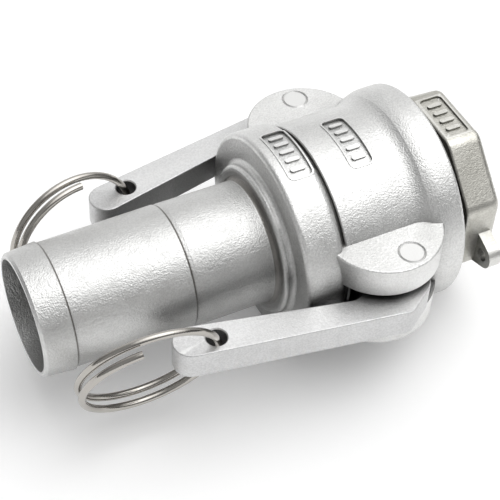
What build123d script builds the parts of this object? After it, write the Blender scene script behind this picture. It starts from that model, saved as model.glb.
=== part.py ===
"""Cam-and-groove coupling, 1 1/4 inch: a hose-shank coupler locked onto a female-threaded adapter.

Millimetres. X runs along the flow axis from the hose end, Z is up and parallel to the
hinge pins, and the two cam arms lie at -Y (front) and +Y (rear). The origin is the
centre of the hose-end face.
"""

from build123d import *
from math import acos, atan2, cos, hypot, radians, sin
import os

os.makedirs("parts", exist_ok=True)

# ---- driving dimensions -------------------------------------------------------------
bore_r = 15.0            # flow bore of the hose shank
shank_r = 16.95          # outside of the hose shank
shank_end = 62.8         # where the shank meets its collar
collar_r = 20.8          # rounded collar at the root of the shank
shoulder_x = 66.8        # flat front face of the body
seat_section_r = 28.8    # outside over the gasket seat
groove_x = 79.2          # square step between the gasket and cam sections
groove_r = 26.2          # bottom of the shallow groove before that step
cam_section_r = 27.45    # outside of the section that carries the ears
flange_r = 30.3          # rim around the mouth
ridge = (103.8, 29.1)    # soft ridge where the flare runs into the rim
flange_x = 108.8         # where the rim reaches its full size
mouth_x = 112.85         # open end of the coupler

socket_r = 23.1          # socket that takes the adapter
seat_r = 24.7            # gasket recess
seat_x = 69.5            # floor of the gasket recess
seat_width = 6.2

pin_x = 93.6             # hinge pins of the cam arms
pin_y = 32.2
pin_r = 3.4
pin_clearance = 0.06
ear_z = 13.9             # outer faces of the ears
slot_z = 5.3             # half of the slot between two ears
ear_r = 16.3             # rounded outline of an ear
ear_x = 91.2
ear_y = 21.0
window_x0 = 79.8         # windows for the cam lobes
window_x1 = 101.2

arm_low = -5.0           # the arm rests low in its slot
arm_high = 3.3
arm_end_x = 34.3         # rounded free end of an arm
arm_end_y = 27.6
arm_end_r = 4.9
knee = (89.6, 42.25)     # outside corner of the arm, beside the hinge pin
crook = (80.6, 33.15)    # inside corner, where the cam lobe turns in
boss_r = 6.2             # metal around the hinge pin
lobe_r = 13.9            # reach of the cam lobe from the hinge pin
lobe_from = 226.0        # lobe sector, degrees about the hinge pin
lobe_to = 243.0
ring_hole_x = 40.5
ring_hole_y = 29.0
ring_hole_r = 2.7

head_r = 22.8            # adapter head
nose_x = 75.85           # adapter nose, just off the gasket
cam_groove_x = 89.5      # groove that the lobes drop into
cam_groove_y = 26.8
cam_groove_r = 7.6
adapter_bore_r = 15.8
thread_r = 20.95         # major radius of the 1 1/4 inch female pipe thread
thread_x = 109.0
octagon_x = 116.4        # wrench section
adapter_end = 127.0
flats = 47.8             # across flats
lug_x = 121.4            # small holed lug for a retaining chain
lug_thick = 3.7
lug_y = -26.9
lug_z = -4.7
lug_r = 3.9
lug_hole_r = 1.9

wire_r = 1.0             # split-ring wire
coil_pitch = 3.2         # loosely wound, a gap of 1.2 between turns
coil_r = 18.2            # middle of the wire
coil_sweep = 585.0       # degrees of winding
ring_slack = 0.6         # how far the wire hangs back in its hole

mark_depth = 0.5         # recessed blank cartouches
lip_height = 0.18
pin_chamfer = 0.35       # broken edges of the pins and their holes


# ---- cartouches: recessed panels with a raised lip and plain raised bars ------------
def shell_slice(outline, inner, outer, x_from, x_to):
    """The part of an upright prism that lies between two radii about the flow axis."""
    with BuildPart() as piece:
        with BuildSketch(Plane.XY.offset(10)):
            add(outline)
        extrude(amount=30)
        with BuildSketch(Plane.YZ.offset(x_from)):
            Circle(outer)
            Circle(inner, mode=Mode.SUBTRACT)
        extrude(amount=x_to - x_from, mode=Mode.INTERSECT)
    return piece.part


def panel_outline(x_mid, y_mid, width, length):
    with BuildSketch() as panel:
        with Locations((x_mid, y_mid)):
            RectangleRounded(width, length, 1.3)
    return panel.sketch


def lip_outline(x_mid, y_mid, width, length):
    with BuildSketch() as lip:
        with Locations((x_mid, y_mid)):
            RectangleRounded(width + 0.9, length + 0.9, 1.7)
            RectangleRounded(width, length, 1.3, mode=Mode.SUBTRACT)
    return lip.sketch


def bar_outline(x_mid, y_mid, width, length, count):
    with BuildSketch() as bars:
        with Locations((x_mid, y_mid)):
            with GridLocations(0, length / count, 1, count):
                SlotOverall(width, 1.3)
    return bars.sketch


seat_panel = panel_outline(73.6, 0.35, 6.4, 17.9)
seat_lip = lip_outline(73.6, 0.35, 6.4, 17.9)
seat_bars = bar_outline(73.6, 0.35, 4.1, 15.6, 5)
cam_panel = panel_outline(90.9, -0.55, 6.2, 17.9)
cam_lip = lip_outline(90.9, -0.55, 6.2, 17.9)
cam_bars = bar_outline(90.9, -0.55, 3.9, 15.8, 5)
seat_pocket = shell_slice(seat_panel, seat_section_r - mark_depth, 32, 69, 78)
seat_border = shell_slice(seat_lip, seat_section_r - 1.0, seat_section_r + lip_height, 69, 78)
seat_tally = shell_slice(seat_bars, seat_section_r - 1.0, seat_section_r, 69, 78)
cam_pocket = shell_slice(cam_panel, cam_section_r - mark_depth, 32, 86, 96)
cam_border = shell_slice(cam_lip, cam_section_r - 1.0, cam_section_r + lip_height, 86, 96)
cam_tally = shell_slice(cam_bars, cam_section_r - 1.0, cam_section_r, 86, 96)


# ---- ears: a rounded pair at the front and at the rear, with a slot between them ----
with BuildPart() as ears:
    with BuildSketch(Plane.XY.offset(-ear_z)):
        with Locations((ear_x, ear_y), (ear_x, -ear_y)):
            Circle(ear_r)
    extrude(amount=2 * ear_z)
    fillet(ears.edges().filter_by(GeomType.CIRCLE), 0.5)
    with BuildSketch(Plane.XY.offset(-slot_z)):
        with Locations((ear_x, 0)):
            Rectangle(3 * ear_r, 6 * ear_r)
    extrude(amount=2 * slot_z, mode=Mode.SUBTRACT)


# ---- coupler body: one investment casting -------------------------------------------
with BuildPart() as coupler_body:
    # outside: two shallow barbs, collar, gasket section, cam section and mouth rim
    with BuildSketch(Plane.XY):
        with BuildLine():
            Polyline((0, 0), (0, 15.9), (0.7, 16.5), (8.3, 17.12), (8.7, 16.65))
            Polyline((8.7, 16.65), (40.7, 17.05), (41.1, 16.75), (42.2, shank_r), (shank_end, shank_r))
            TangentArc((shank_end, shank_r), (64.2, 18.35), tangent=(1, 0))
            Line((64.2, 18.35), (64.2, collar_r - 1.0))
            TangentArc((64.2, collar_r - 1.0), (65.2, collar_r), tangent=(0, 1))
            Line((65.2, collar_r), (shoulder_x - 1.4, collar_r))
            TangentArc((shoulder_x - 1.4, collar_r), (shoulder_x, collar_r + 1.4), tangent=(1, 0))
            Line((shoulder_x, collar_r + 1.4), (shoulder_x, seat_section_r - 1.4))
            TangentArc((shoulder_x, seat_section_r - 1.4), (shoulder_x + 1.4, seat_section_r), tangent=(0, 1))
            Line((shoulder_x + 1.4, seat_section_r), (76.0, seat_section_r))
            TangentArc((76.0, seat_section_r), (78.4, groove_r), tangent=(1, 0))
            Polyline((78.4, groove_r), (groove_x, groove_r), (groove_x, cam_section_r - 0.3))
            Polyline((groove_x, cam_section_r - 0.3), (groove_x + 0.3, cam_section_r), (99.2, cam_section_r))
            TangentArc((99.2, cam_section_r), ridge, tangent=(1, 0))
            TangentArc((flange_x, flange_r), ridge, tangent=(-1, 0))
            Line((flange_x, flange_r), (mouth_x - 1.0, flange_r))
            TangentArc((mouth_x - 1.0, flange_r), (mouth_x, flange_r - 1.0), tangent=(1, 0))
            Polyline((mouth_x, flange_r - 1.0), (mouth_x, 0), (0, 0))
        make_face()
    revolve(axis=Axis.X)
    add(ears.part)

    # cartouches on the crown
    add(seat_pocket, mode=Mode.SUBTRACT)
    add(cam_pocket, mode=Mode.SUBTRACT)
    add(seat_border)
    add(seat_tally)
    add(cam_border)
    add(cam_tally)

    # flow bore, gasket recess and adapter socket
    with BuildSketch(Plane.XY):
        with BuildLine():
            Polyline(
                (-1, 0),
                (-1, bore_r),
                (seat_x, bore_r),
                (seat_x, seat_r),
                (seat_x + seat_width, seat_r),
                (seat_x + seat_width, socket_r),
                (mouth_x - 1.2, socket_r),
                (mouth_x + 0.8, socket_r + 2),
                (mouth_x + 0.8, 0),
                (-1, 0),
            )
        make_face()
    revolve(axis=Axis.X, mode=Mode.SUBTRACT)

    # windows for the cam lobes
    with BuildSketch(Plane.XY.offset(-slot_z)):
        with Locations(((window_x0 + window_x1) / 2, 0)):
            Rectangle(window_x1 - window_x0, 2 * (cam_section_r + 6))
    extrude(amount=2 * slot_z, mode=Mode.SUBTRACT)

    # hinge-pin holes through the ears, lightly countersunk outside
    with Locations((pin_x, pin_y, 0), (pin_x, -pin_y, 0)):
        Hole(pin_r)
    pin_rims = coupler_body.edges().filter_by(GeomType.CIRCLE)
    pin_rims = pin_rims.filter_by(lambda e: abs(e.radius - pin_r) < 0.01)
    pin_rims = pin_rims.filter_by(lambda e: abs(abs(e.center().Z) - ear_z) < 0.01)
    chamfer(pin_rims, pin_chamfer)

coupler_body.part.label = "coupler_body"
export_step(coupler_body.part, "parts/coupler_body.step")


# ---- gasket: flat rubber ring in its recess -----------------------------------------
with BuildPart() as gasket:
    with BuildSketch(Plane.YZ.offset(seat_x + 0.1)):
        Circle(seat_r - 0.15)
        Circle(17.0, mode=Mode.SUBTRACT)
    extrude(amount=seat_width - 0.15)
    fillet(gasket.edges().filter_by(GeomType.CIRCLE), 0.6)

gasket.part.label = "gasket"
export_step(gasket.part, "parts/gasket.step")


# ---- adapter: grooved head, octagonal wrench section, female thread -----------------
groove_half = (cam_groove_r**2 - (cam_groove_y - head_r) ** 2) ** 0.5
groove_bottom = cam_groove_y - cam_groove_r

with BuildPart() as adapter:
    with BuildSketch(Plane.XY):
        with BuildLine():
            Polyline((nose_x, 0), (nose_x, head_r - 1.2), (nose_x + 1.6, head_r))
            Line((nose_x + 1.6, head_r), (cam_groove_x - groove_half, head_r))
            ThreePointArc(
                (cam_groove_x - groove_half, head_r),
                (cam_groove_x, groove_bottom),
                (cam_groove_x + groove_half, head_r),
            )
            Polyline(
                (cam_groove_x + groove_half, head_r),
                (octagon_x + 1, head_r),
                (octagon_x + 1, 0),
                (nose_x, 0),
            )
        make_face()
    revolve(axis=Axis.X)
    groove_rims = adapter.edges().filter_by(GeomType.CIRCLE)
    groove_rims = groove_rims.filter_by(lambda e: abs(abs(e.center().X - cam_groove_x) - groove_half) < 0.01)
    fillet(groove_rims, 0.5)

with BuildPart() as wrench_section:
    with BuildSketch(Plane.YZ.offset(octagon_x)):
        RegularPolygon(flats / 2, 8, major_radius=False, rotation=22.5)
    extrude(amount=adapter_end - octagon_x)
    corner_edges = wrench_section.edges().filter_by(Axis.X)
    fillet(corner_edges, 4.5)
    fillet(wrench_section.faces().sort_by(Axis.X)[-1].outer_wire().edges(), 2.0)
    fillet(wrench_section.faces().sort_by(Axis.X)[0].outer_wire().edges(), 0.8)
    # blank cartouche with plain bars on the top flat
    with BuildSketch(Plane.XY.offset(flats / 2 - mark_depth)):
        with Locations(((octagon_x + adapter_end) / 2 - 0.4, 0)):
            RectangleRounded(6.7, 15.4, 1.3)
            with GridLocations(0, 3.2, 1, 4):
                SlotOverall(4.3, 1.3, mode=Mode.SUBTRACT)
    extrude(amount=2, mode=Mode.SUBTRACT)
    # retaining lug, tapering to a rounded tip with a hole
    with BuildSketch(Plane.YZ.offset(lug_x)):
        with Locations((lug_y, lug_z)):
            Circle(lug_r)
        with BuildLine():
            Polyline(
                (-20, lug_z - 6.0),
                (-22.6, lug_z - 5.7),
                (lug_y - 1.0, lug_z - lug_r + 0.1),
                (lug_y - 1.0, lug_z + lug_r - 0.1),
                (-22.6, lug_z + 5.9),
                (-20, lug_z + 6.2),
                (-20, lug_z - 6.0),
            )
        make_face()
    extrude(amount=lug_thick)

with BuildPart() as adapter_whole:
    add(adapter.part)
    add(wrench_section.part)
    # bore, then the female thread at its major size with a lead-in
    with BuildSketch(Plane.XY):
        with BuildLine():
            Polyline(
                (nose_x - 1, 0),
                (nose_x - 1, adapter_bore_r),
                (thread_x - 3, adapter_bore_r),
                (thread_x, thread_r),
                (adapter_end - 0.4, thread_r),
                (adapter_end + 0.2, thread_r + 0.6),
                (adapter_end + 0.2, 0),
                (nose_x - 1, 0),
            )
        make_face()
    revolve(axis=Axis.X, mode=Mode.SUBTRACT)
    with Locations(Plane((lug_x + lug_thick, lug_y, lug_z), z_dir=(1, 0, 0))):
        Hole(lug_hole_r, depth=2 * lug_thick)

adapter_whole.part.label = "adapter"
export_step(adapter_whole.part, "parts/adapter.step")


# ---- cam arms -----------------------------------------------------------------------
def about_pin(reach, degrees):
    return (pin_x + reach * cos(radians(degrees)), pin_y + reach * sin(radians(degrees)))


def touch(centre, radius, corner, turn):
    """Where a line from the corner just touches the circle, on the side that turn names."""
    across, up = corner[0] - centre[0], corner[1] - centre[1]
    angle = atan2(up, across) + turn * acos(radius / hypot(across, up))
    return (centre[0] + radius * cos(angle), centre[1] + radius * sin(angle))


arm_end = (arm_end_x, arm_end_y)
pin_centre = (pin_x, pin_y)
heel = about_pin(lobe_r, lobe_to)
toe = about_pin(lobe_r, lobe_from)

with BuildPart() as arm:
    with BuildSketch(Plane.XY.offset(arm_low)) as arm_outline:
        with BuildLine():
            Line(touch(arm_end, arm_end_r, knee, 1), knee)
            Line(knee, touch(pin_centre, boss_r, knee, -1))
            ThreePointArc(
                touch(pin_centre, boss_r, knee, -1),
                (pin_x + boss_r, pin_y),
                touch(pin_centre, boss_r, heel, 1),
            )
            Line(touch(pin_centre, boss_r, heel, 1), heel)
            ThreePointArc(heel, about_pin(lobe_r, (lobe_from + lobe_to) / 2), toe)
            Line(toe, crook)
            Line(crook, touch(arm_end, arm_end_r, crook, -1))
            ThreePointArc(
                touch(arm_end, arm_end_r, crook, -1),
                (arm_end_x - arm_end_r, arm_end_y),
                touch(arm_end, arm_end_r, knee, 1),
            )
        make_face()
        fillet(arm_outline.vertices().sort_by_distance(knee)[0], 3.0)
        fillet(arm_outline.vertices().sort_by_distance(crook)[0], 4.0)
        fillet(arm_outline.vertices().sort_by_distance(heel)[0], 1.6)
        fillet(arm_outline.vertices().sort_by_distance(toe)[0], 1.6)
    extrude(amount=arm_high - arm_low)
    fillet(arm.faces().filter_by(Axis.Z).edges(), 0.35)
    with Locations((pin_x, pin_y, 0)):
        Hole(pin_r + pin_clearance)
    with Locations((ring_hole_x, ring_hole_y, 0)):
        Hole(ring_hole_r)
    ring_rims = arm.edges().filter_by(GeomType.CIRCLE)
    ring_rims = ring_rims.filter_by(lambda e: abs(e.radius - ring_hole_r) < 0.01)
    chamfer(ring_rims, 0.3)

for name, flip in (("cam_arm_rear", False), ("cam_arm_front", True)):
    with BuildPart() as cam_arm:
        add(arm.part if not flip else arm.part.mirror(Plane.XZ))
    cam_arm.part.label = name
    export_step(cam_arm.part, f"parts/{name}.step")


# ---- hinge pins ---------------------------------------------------------------------
for name, side in (("hinge_pin_front", -1), ("hinge_pin_rear", 1)):
    with BuildPart() as hinge_pin:
        with Locations((pin_x, side * pin_y, 0)):
            Cylinder(pin_r, 2 * ear_z)
        chamfer(hinge_pin.edges().filter_by(GeomType.CIRCLE), pin_chamfer)
    hinge_pin.part.label = name
    export_step(hinge_pin.part, f"parts/{name}.step")


# ---- finger rings: split rings of loosely wound wire, one strand through each arm ----
with BuildPart() as coil:
    with BuildLine() as turns:
        Helix(pitch=coil_pitch, height=coil_pitch * coil_sweep / 360, radius=coil_r, lefthand=True)
    with BuildSketch(Plane(origin=turns.line @ 0, z_dir=turns.line % 0)):
        Circle(wire_r)
    sweep(path=turns.line, is_frenet=True)

# end_gap: how far below the arm the outer end stops; tilt, droop and lean in degrees
for name, side, end_gap, tilt, droop, lean in (
    ("finger_ring_front", -1, 35, 16.5, 3.0, 3.5),
    ("finger_ring_rear", 1, 61, -2.0, 9.5, 12.5),
):
    upright = Plane(
        origin=(-coil_r, coil_pitch * (1 - end_gap / 360), 0),
        x_dir=(cos(radians(end_gap)), 0, -sin(radians(end_gap))),
        z_dir=(0, -1, 0),
    )
    hung = Location(
        (ring_hole_x + ring_slack, side * ring_hole_y, (arm_low + arm_high) / 2),
        (tilt, -droop, side * lean),
        Extrinsic.XYZ,
    )
    with BuildPart() as finger_ring:
        add(coil.part.moved(hung * upright.location))
    finger_ring.part.label = name
    export_step(finger_ring.part, f"parts/{name}.step")
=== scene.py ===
"""Looks of the cam-and-groove coupling: blasted cast stainless steel, polished split rings, soft studio."""

import math

import bpy
from mathutils import Matrix, Vector


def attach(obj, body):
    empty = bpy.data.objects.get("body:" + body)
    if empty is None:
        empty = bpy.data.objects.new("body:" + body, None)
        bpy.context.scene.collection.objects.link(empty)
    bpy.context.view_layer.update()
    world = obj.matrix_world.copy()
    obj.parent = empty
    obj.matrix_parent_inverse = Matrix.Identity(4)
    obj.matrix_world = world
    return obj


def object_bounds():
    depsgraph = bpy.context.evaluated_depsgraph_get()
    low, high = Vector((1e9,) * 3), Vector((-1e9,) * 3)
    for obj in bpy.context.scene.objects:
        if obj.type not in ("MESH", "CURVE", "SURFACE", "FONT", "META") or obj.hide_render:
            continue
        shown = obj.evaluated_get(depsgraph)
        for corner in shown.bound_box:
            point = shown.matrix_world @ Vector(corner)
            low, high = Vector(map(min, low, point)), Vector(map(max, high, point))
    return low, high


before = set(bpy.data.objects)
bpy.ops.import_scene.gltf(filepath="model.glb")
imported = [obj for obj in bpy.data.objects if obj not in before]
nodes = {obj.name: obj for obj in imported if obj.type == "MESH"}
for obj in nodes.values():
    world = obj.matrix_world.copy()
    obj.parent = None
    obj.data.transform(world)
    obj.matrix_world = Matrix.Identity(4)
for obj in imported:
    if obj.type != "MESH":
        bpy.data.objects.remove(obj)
cad_low, cad_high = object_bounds()
MM = 0.001


# ---- node helpers -------------------------------------------------------------------
def start_material(name, colour, metallic, roughness):
    """A material whose uniform values sit on the shader's own sockets."""
    material = bpy.data.materials.new(name)
    material.use_nodes = True
    tree = material.node_tree
    shader = tree.nodes["Principled BSDF"]
    shader.inputs["Base Color"].default_value = (*colour, 1)
    shader.inputs["Metallic"].default_value = metallic
    shader.inputs["Roughness"].default_value = roughness
    return material, tree, shader


def object_coordinates(tree):
    return tree.nodes.new("ShaderNodeTexCoord").outputs["Object"]


def noise(tree, coordinates, feature_mm, detail=2.0, roughness=0.5):
    """Noise whose features are about feature_mm across."""
    texture = tree.nodes.new("ShaderNodeTexNoise")
    texture.inputs["Scale"].default_value = 1 / (feature_mm * MM)
    texture.inputs["Detail"].default_value = detail
    texture.inputs["Roughness"].default_value = roughness
    tree.links.new(coordinates, texture.inputs["Vector"])
    return texture.outputs["Fac"]


def remap(tree, value, low, high, to_low, to_high):
    node = tree.nodes.new("ShaderNodeMapRange")
    node.inputs["From Min"].default_value = low
    node.inputs["From Max"].default_value = high
    node.inputs["To Min"].default_value = to_low
    node.inputs["To Max"].default_value = to_high
    tree.links.new(value, node.inputs["Value"])
    return node.outputs["Result"]


def blend_colours(tree, factor, first, second):
    node = tree.nodes.new("ShaderNodeMix")
    node.data_type = "RGBA"
    tree.links.new(factor, node.inputs["Factor"])
    for socket, colour in ((node.inputs[6], first), (node.inputs[7], second)):
        if isinstance(colour, tuple):
            socket.default_value = (*colour, 1)
        else:
            tree.links.new(colour, socket)
    return node.outputs[2]


def bump(tree, height, depth_mm, strength=1.0, under=None):
    node = tree.nodes.new("ShaderNodeBump")
    node.inputs["Distance"].default_value = depth_mm * MM
    node.inputs["Strength"].default_value = strength
    tree.links.new(height, node.inputs["Height"])
    if under is not None:
        tree.links.new(under, node.inputs["Normal"])
    return node.outputs["Normal"]


def along(tree, where, axes):
    """Length of a position's components along the chosen axes, in metres."""
    chosen = tree.nodes.new("ShaderNodeVectorMath")
    chosen.operation = "MULTIPLY"
    chosen.inputs[1].default_value = axes
    tree.links.new(where, chosen.inputs[0])
    length = tree.nodes.new("ShaderNodeVectorMath")
    length.operation = "LENGTH"
    tree.links.new(chosen.outputs["Vector"], length.inputs[0])
    return length.outputs["Value"]


def multiply(tree, first, second):
    node = tree.nodes.new("ShaderNodeMath")
    node.operation = "MULTIPLY"
    tree.links.new(first, node.inputs[0])
    tree.links.new(second, node.inputs[1])
    return node.outputs["Value"]


def band(tree, station, radius, start_mm, end_mm, below_mm):
    """Mask of painted shade, 1 in a ring-shaped hollow: between two stations along the flow axis and below
    a radius.
    """
    rising = remap(tree, station, (start_mm - 0.25) * MM, start_mm * MM, 0, 1)
    falling = remap(tree, station, end_mm * MM, (end_mm + 0.2) * MM, 1, 0)
    low = remap(tree, radius, (below_mm - 0.5) * MM, below_mm * MM, 1, 0)
    return multiply(tree, multiply(tree, rising, falling), low)


def occlusion_shade(tree, reach_mm):
    """Painted shade mask from ambient occlusion: 1 deep in corners and gaps, 0 on open surfaces."""
    node = tree.nodes.new("ShaderNodeAmbientOcclusion")
    node.samples = 6
    node.inputs["Distance"].default_value = reach_mm * MM
    return remap(tree, node.outputs["AO"], 0.22, 0.8, 1, 0)


# ---- materials ----------------------------------------------------------------------
def cast_steel(
    name, light, dark, roughness, peel_mm, grain_mm, reach_mm, shaded_hollows=(), bore_mm=0.0, shank_shade_end_mm=0.0
):
    """Blasted investment casting: orange peel under fine grain, with painted shade along the shank.

    light and dark are the two ends of its mottle, peel_mm and grain_mm are bump depths, and
    reach_mm is how far off a wall the painted shade of corners and gaps reaches. hollows, given as
    start, end and radius, are narrow grooves darkened with painted shade. The bore lies inside bore_mm, and
    painted shade darkens the skin before shank_shade_end_mm.
    """
    material, tree, shader = start_material(name, light, 1.0, roughness)
    where = object_coordinates(tree)
    mottle = remap(tree, noise(tree, where, 14, 3), 0.35, 0.65, 0, 1)
    colour = blend_colours(tree, mottle, dark, light)
    speck = remap(tree, noise(tree, where, 0.5, 3, 0.6), 0.4, 0.62, 0, 0.35)
    colour = blend_colours(tree, speck, colour, tuple(0.62 * c for c in dark))
    geometry = tree.nodes.new("ShaderNodeNewGeometry")
    edge = remap(tree, geometry.outputs["Pointiness"], 0.52, 0.6, 0, 0.5)
    colour = blend_colours(tree, edge, colour, (0.93, 0.93, 0.92))
    station = along(tree, where, (1, 0, 0))
    radius = along(tree, where, (0, 1, 1))
    # painted shade: the skin is darkened before shank_shade_end_mm
    shank_shade = remap(tree, station, (shank_shade_end_mm - 1.5) * MM, (shank_shade_end_mm + 0.5) * MM, 0.32, 0)
    colour = blend_colours(tree, shank_shade, colour, tuple(0.6 * c for c in dark))
    # painted shade: each narrow hollow is darkened towards a dark grey
    for hollow in shaded_hollows:
        colour = blend_colours(tree, band(tree, station, radius, *hollow), colour, (0.24, 0.23, 0.215))
    outside = remap(tree, radius, bore_mm * MM, (bore_mm + 0.3) * MM, 0, 1)
    colour = blend_colours(tree, outside, tuple(0.75 * c for c in dark), colour)
    # painted shade: corners and gaps are darkened by ambient occlusion, outside the bore only
    painted_shade = multiply(tree, occlusion_shade(tree, reach_mm), outside)
    colour = blend_colours(tree, painted_shade, colour, tuple(0.22 * c for c in dark))
    tree.links.new(colour, shader.inputs["Base Color"])
    patchy = remap(tree, noise(tree, where, 4, 4), 0.3, 0.7, roughness - 0.06, roughness + 0.08)
    tree.links.new(patchy, shader.inputs["Roughness"])
    peel = bump(tree, noise(tree, where, 1.0, 1), peel_mm)
    grain = bump(tree, noise(tree, where, 0.42, 2, 0.6), grain_mm, under=peel)
    tree.links.new(grain, shader.inputs["Normal"])
    return material


def ground_pin():
    """Ground steel with a fine, uneven polish."""
    material, tree, shader = start_material("ground_pin", (0.74, 0.74, 0.73), 1.0, 0.42)
    where = object_coordinates(tree)
    tree.links.new(bump(tree, noise(tree, where, 0.5, 3), 0.03), shader.inputs["Normal"])
    worn = remap(tree, noise(tree, where, 2.5, 3), 0.3, 0.7, 0.36, 0.52)
    tree.links.new(worn, shader.inputs["Roughness"])
    return material


def spring_wire():
    """Drawn and tumbled stainless wire: bright, with fine draw marks and small scuffs."""
    material, tree, shader = start_material("spring_wire", (0.46, 0.44, 0.41), 1.0, 0.14)
    where = object_coordinates(tree)
    scuffs = remap(tree, noise(tree, where, 1.6, 5, 0.65), 0.45, 0.75, 0.1, 0.28)
    tree.links.new(scuffs, shader.inputs["Roughness"])
    tree.links.new(bump(tree, noise(tree, where, 0.9, 3), 0.02), shader.inputs["Normal"])
    return material


def turned_steel():
    """Machined thread: bright, with the cutter's fine rings about the flow axis."""
    material, tree, shader = start_material("turned_steel", (0.7, 0.69, 0.66), 1.0, 0.3)
    where = object_coordinates(tree)
    rings = tree.nodes.new("ShaderNodeTexWave")
    rings.bands_direction = "X"
    rings.inputs["Scale"].default_value = 1 / (6 * MM)
    rings.inputs["Distortion"].default_value = 0.6
    tree.links.new(where, rings.inputs["Vector"])
    tree.links.new(bump(tree, rings.outputs["Fac"], 0.015), shader.inputs["Normal"])
    worn = remap(tree, noise(tree, where, 1.5, 3), 0.3, 0.7, 0.24, 0.42)
    tree.links.new(worn, shader.inputs["Roughness"])
    return material


def nitrile_rubber():
    """Matte black rubber with a little dust."""
    material, tree, shader = start_material("nitrile_rubber", (0.022, 0.022, 0.023), 0.0, 0.62)
    where = object_coordinates(tree)
    tree.links.new(bump(tree, noise(tree, where, 0.4, 3), 0.03), shader.inputs["Normal"])
    dusty = remap(tree, noise(tree, where, 5, 3), 0.3, 0.7, 0.52, 0.72)
    tree.links.new(dusty, shader.inputs["Roughness"])
    return material


body_steel = cast_steel(
    "cast_body",
    light=(0.78, 0.78, 0.77),
    dark=(0.72, 0.72, 0.71),
    roughness=0.39,
    peel_mm=0.06,
    grain_mm=0.15,
    reach_mm=30,
    # painted shade in both barb steps, the root of the collar and the groove before the cam section
    shaded_hollows=((8.35, 8.65, 18), (40.8, 41.15, 18), (63.2, 64.1, 19.5), (78.0, 79.15, 27.6)),
    bore_mm=15.3,
    shank_shade_end_mm=62.5,
)
adapter_steel = cast_steel(
    "cast_adapter",
    light=(0.62, 0.61, 0.565),
    dark=(0.5, 0.49, 0.445),
    roughness=0.36,
    peel_mm=0.04,
    grain_mm=0.08,
    reach_mm=16,
    # painted shade in the neck between the mouth rim and the octagon
    shaded_hollows=((100, 116.3, 23.6),),
)
arm_steel = cast_steel(
    "cast_arm",
    light=(0.69, 0.69, 0.69),
    dark=(0.65, 0.65, 0.65),
    roughness=0.44,
    peel_mm=0.03,
    grain_mm=0.07,
    reach_mm=14,
)
pin_steel = ground_pin()
ring_steel = spring_wire()
rubber = nitrile_rubber()

for node_name, material in (
    ("coupler_body", body_steel),
    ("adapter", adapter_steel),
    ("cam_arm_front", arm_steel),
    ("cam_arm_rear", arm_steel),
    ("hinge_pin_front", pin_steel),
    ("hinge_pin_rear", pin_steel),
    ("finger_ring_front", ring_steel),
    ("finger_ring_rear", ring_steel),
    ("gasket", rubber),
):
    for slot in nodes[node_name].material_slots:
        slot.material = material


# ---- female thread: a helical ridge cut inside the adapter, fading out at both ends --
def thread_ridge(name, start_mm, end_mm, root_mm, crest_mm, pitch_mm):
    # section of the ridge: place across it in mm, and share of its full height
    profile = ((-1.05, 0.0), (-0.35, 0.85), (-0.12, 1.0), (0.12, 1.0), (0.35, 0.85), (1.05, 0.0))
    steps_per_turn = 72
    fade = 14
    turns = (end_mm - start_mm) / pitch_mm
    steps = round(turns * steps_per_turn)
    vertices, faces = [], []
    for step in range(steps + 1):
        travelled = step / steps
        height = (root_mm - crest_mm) * min(1, fade * travelled, fade * (1 - travelled))
        angle = travelled * turns * 2 * math.pi
        for across, rise in profile:
            radius = root_mm - height * rise
            x = start_mm + travelled * (end_mm - start_mm) + across
            vertices.append(Vector((x, radius * math.cos(angle), radius * math.sin(angle))) * MM)
        if step:
            last, this = (step - 1) * len(profile), step * len(profile)
            for k in range(len(profile) - 1):
                faces.append((last + k, last + k + 1, this + k + 1, this + k))
    mesh = bpy.data.meshes.new(name)
    mesh.from_pydata(vertices, [], faces)
    mesh.shade_smooth()
    ridge = bpy.data.objects.new(name, mesh)
    bpy.context.scene.collection.objects.link(ridge)
    return ridge


thread = thread_ridge(
    "thread_ridge", start_mm=110.2, end_mm=125.6, root_mm=20.98, crest_mm=19.5, pitch_mm=2.309
)
thread.data.materials.append(turned_steel())
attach(thread, "adapter")


# ---- studio -------------------------------------------------------------------------
def aim(thing, target):
    thing.rotation_euler = (target - thing.location).to_track_quat("-Z", "Y").to_euler()


def soft_box(name, direction, distance, size, power, target):
    light = bpy.data.objects.new(name, bpy.data.lights.new(name, "AREA"))
    light.data.shape = "SQUARE"
    light.data.size = size
    light.data.energy = power
    light.location = target + Vector(direction).normalized() * distance
    bpy.context.scene.collection.objects.link(light)
    aim(light, target)
    return light


middle = (cad_low + cad_high) / 2
reach = (cad_high - cad_low).length

bpy.ops.mesh.primitive_plane_add(size=reach * 600, location=(middle.x, middle.y, cad_low.z))
floor = bpy.context.object
floor.name = "studio_floor"
floor_material, floor_tree, floor_shader = start_material("pale_floor", (0.93, 0.93, 0.93), 0.0, 0.9)
floor_shader.inputs["Emission Color"].default_value = (1, 1, 1, 1)
floor_shader.inputs["Emission Strength"].default_value = 0.13
floor.data.materials.append(floor_material)

world = bpy.data.worlds.new("soft_studio")
bpy.context.scene.world = world
world.use_nodes = True
sky = world.node_tree
direction = sky.nodes.new("ShaderNodeTexCoord").outputs["Generated"]


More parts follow.
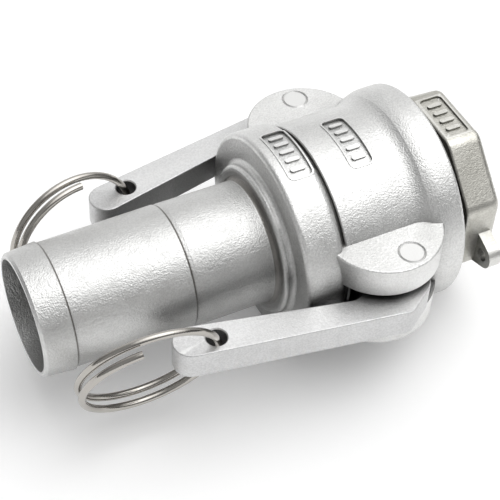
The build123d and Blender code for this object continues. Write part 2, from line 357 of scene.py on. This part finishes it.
def glow(towards, half_angle, strength):
    """A soft patch of light in the surroundings, fading to nothing at half_angle degrees."""
    dot = sky.nodes.new("ShaderNodeVectorMath")
    dot.operation = "DOT_PRODUCT"
    dot.inputs[1].default_value = Vector(towards).normalized()
    sky.links.new(direction, dot.inputs[0])
    fade = sky.nodes.new("ShaderNodeMapRange")
    fade.interpolation_type = "SMOOTHSTEP"
    fade.inputs["From Min"].default_value = math.cos(math.radians(half_angle))
    fade.inputs["From Max"].default_value = 1
    fade.inputs["To Max"].default_value = strength
    sky.links.new(dot.outputs["Value"], fade.inputs["Value"])
    return fade.outputs["Result"]


def add_up(values, base):
    total = base
    for value in values:
        node = sky.nodes.new("ShaderNodeMath")
        node.operation = "ADD"
        if isinstance(total, float):
            node.inputs[0].default_value = total
        else:
            sky.links.new(total, node.inputs[0])
        sky.links.new(value, node.inputs[1])
        total = node.outputs["Value"]
    return total


# overhead strip, the wall behind the rear arm, the wall before the front arm, and the hose end's side
brightness = add_up(
    [
        glow((0.33, -0.16, 0.93), 50, 2.0),
        glow((0.33, 0.75, 0.4), 75, 0.79),
        glow((0.33, -0.9, 0.2), 50, 0.15),
        glow((-0.8, -0.3, 0.5), 65, 0.3),
    ],
    0.1,
)
sky.links.new(brightness, sky.nodes["Background"].inputs["Strength"])
sky.nodes["Background"].inputs["Color"].default_value = (1, 1, 1, 1)

soft_box("overhead", (0.3, -0.3, 0.9), reach * 4, reach * 2.2, 0.35, middle)

# ---- camera: looks down past the hose end and the front arm --------------------------
AZIMUTH, ELEVATION, ROLL = math.radians(-28.4), math.radians(46.75), math.radians(-3.04)
CAMERA_MM = Vector((-58.0, -224.8, 270.9))
LENS_MM = 100.15
forward = Vector((
    -math.sin(AZIMUTH) * math.cos(ELEVATION),
    math.cos(AZIMUTH) * math.cos(ELEVATION),
    -math.sin(ELEVATION),
))
camera = bpy.data.objects.new("camera", bpy.data.cameras.new("camera"))
camera.data.sensor_width = 36
camera.data.lens = LENS_MM
camera.data.shift_x = 0.0045
camera.data.shift_y = -0.0145
camera.data.clip_start = 0.01
camera.data.clip_end = 60
camera.location = CAMERA_MM * MM
camera.rotation_mode = "QUATERNION"
level = Vector((math.cos(AZIMUTH), math.sin(AZIMUTH), 0))
down = forward.cross(level)
right = level * math.cos(ROLL) + down * math.sin(ROLL)
up = level * math.sin(ROLL) - down * math.cos(ROLL)
camera.rotation_quaternion = Matrix((right, up, -forward)).transposed().to_quaternion()
bpy.context.scene.collection.objects.link(camera)
bpy.context.scene.camera = camera
bpy.context.scene.view_settings.view_transform = "Standard"
